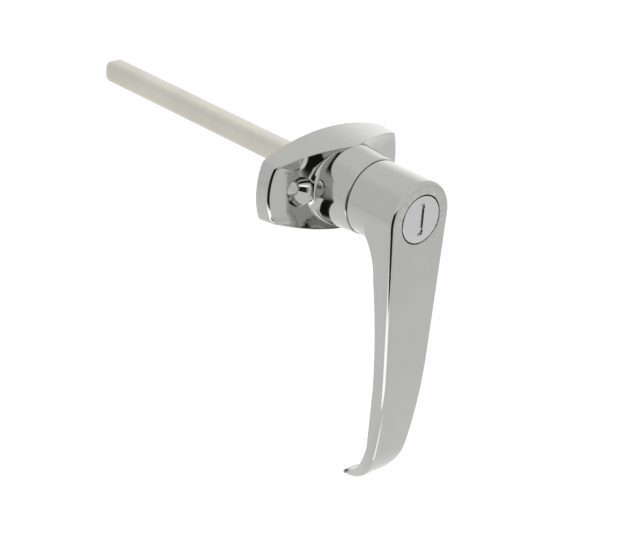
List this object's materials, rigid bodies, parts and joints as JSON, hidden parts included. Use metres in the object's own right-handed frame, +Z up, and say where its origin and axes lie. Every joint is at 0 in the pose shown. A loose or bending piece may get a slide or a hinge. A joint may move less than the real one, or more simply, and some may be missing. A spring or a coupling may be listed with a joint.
{
  "type": "swing handle lock",
  "caption": "L-shaped swing handle with a keyed wafer lock in its hub, on a winged escutcheon, turning a long square spindle through the door.",
  "frame": {"origin": "where the spindle axis meets the door face, in the plane of the escutcheon's back", "axes": "+Y into the door along the spindle, +Z up, lever hanging down, +X to the right as the user sees it"},
  "size_m": [0.0542, 0.147, 0.1096],
  "materials": {
    "chrome": "polished chrome plate on a zinc die casting",
    "nickel_steel": "satin nickel plated steel",
    "bright_steel": "bright zinc plated steel",
    "spring_steel": "hardened spring steel",
    "zinc": "bare zinc die casting",
    "brass": "bare brass"
  },
  "bodies": {
    "escutcheon": {"escutcheon": "chrome"},
    "handle": {"handle": "chrome", "cylinder_shell": "zinc", "shell_pin": "bright_steel", "spindle": "nickel_steel", "spindle_pin": "bright_steel", "stop_washer": "bright_steel", "retaining_ring": "spring_steel", "spring_washer": "spring_steel"},
    "key_plug": {"key_plug": "zinc", "plug_cap": "chrome", "shutter_pin": "bright_steel", "shutter_spring": "spring_steel", "plug_clip": "spring_steel", "plug_driver": "bright_steel", "wafer_spring_1": "spring_steel", "wafer_spring_2": "spring_steel", "wafer_spring_3": "spring_steel", "wafer_spring_4": "spring_steel", "wafer_spring_5": "spring_steel"},
    "locking_bolt": {"locking_bolt": "bright_steel"},
    "shutter": {"shutter": "chrome"},
    "wafer_1": {"wafer_1": "brass"},
    "wafer_2": {"wafer_2": "brass"},
    "wafer_3": {"wafer_3": "brass"},
    "wafer_4": {"wafer_4": "brass"},
    "wafer_5": {"wafer_5": "brass"}
  },
  "joints": [
    {"name": "handle_turn", "type": "hinge", "parent": "escutcheon", "child": "handle", "pos_m": [0, 0, 0], "axis": [0, 1, 0], "range_deg": [-90, 90]},
    {"name": "plug_turn", "type": "hinge", "parent": "handle", "child": "key_plug", "pos_m": [0, -0.03, 0], "axis": [0, 1, 0], "range_deg": [0, 90]},
    {"name": "bolt_slide", "type": "slide", "parent": "handle", "child": "locking_bolt", "axis": [0, 0, 1], "range_m": [0, 0.002]},
    {"name": "shutter_swing", "type": "hinge", "parent": "key_plug", "child": "shutter", "pos_m": [-0.0016, -0.0408, 0], "axis": [0, 0, 1], "range_deg": [0, 80], "stiffness_Nm_per_rad": 0.0002},
    {"name": "wafer_1_lift", "type": "slide", "parent": "key_plug", "child": "wafer_1", "axis": [0, 0, 1], "range_m": [0, 0.0012], "stiffness_N_per_m": 20, "deforming": ["wafer_spring_1"]},
    {"name": "wafer_2_lift", "type": "slide", "parent": "key_plug", "child": "wafer_2", "axis": [0, 0, -1], "range_m": [0, 0.0012], "stiffness_N_per_m": 20, "deforming": ["wafer_spring_2"]},
    {"name": "wafer_3_lift", "type": "slide", "parent": "key_plug", "child": "wafer_3", "axis": [0, 0, 1], "range_m": [0, 0.0012], "stiffness_N_per_m": 20, "deforming": ["wafer_spring_3"]},
    {"name": "wafer_4_lift", "type": "slide", "parent": "key_plug", "child": "wafer_4", "axis": [0, 0, -1], "range_m": [0, 0.0012], "stiffness_N_per_m": 20, "deforming": ["wafer_spring_4"]},
    {"name": "wafer_5_lift", "type": "slide", "parent": "key_plug", "child": "wafer_5", "axis": [0, 0, 1], "range_m": [0, 0.0012], "stiffness_N_per_m": 20, "deforming": ["wafer_spring_5"]}
  ],
  "couplings": [
    {"joint": "plug_turn", "follows": "bolt_slide", "rad_per_m": 785.4}
  ]
}
